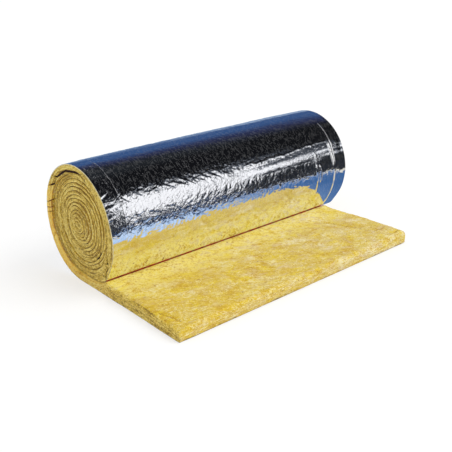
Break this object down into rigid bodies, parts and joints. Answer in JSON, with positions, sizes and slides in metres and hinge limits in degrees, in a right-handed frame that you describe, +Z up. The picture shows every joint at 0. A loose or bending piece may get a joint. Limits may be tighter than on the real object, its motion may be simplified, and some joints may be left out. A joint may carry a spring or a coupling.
{
  "type": "insulation roll",
  "caption": "Roll of glass-wool blanket insulation with a foil facing on the outside, lying on its side with its free end laid out flat.",
  "frame": {"origin": "on the floor, under the middle of the bounding box", "axes": "+X along the roll's axis, -Y from the roll towards the cut edge of the free end, +Z up"},
  "size_m": [1.22, 0.785, 0.44],
  "materials": {
    "glass_wool": "soft, matt, fibrous yellow glass wool",
    "foil_laminate": "bright, finely wrinkled aluminium foil laminate"
  },
  "bodies": {
    "root": {"wool_blanket": "glass_wool", "foil_facing": "foil_laminate"}
  },
  "joints": []
}
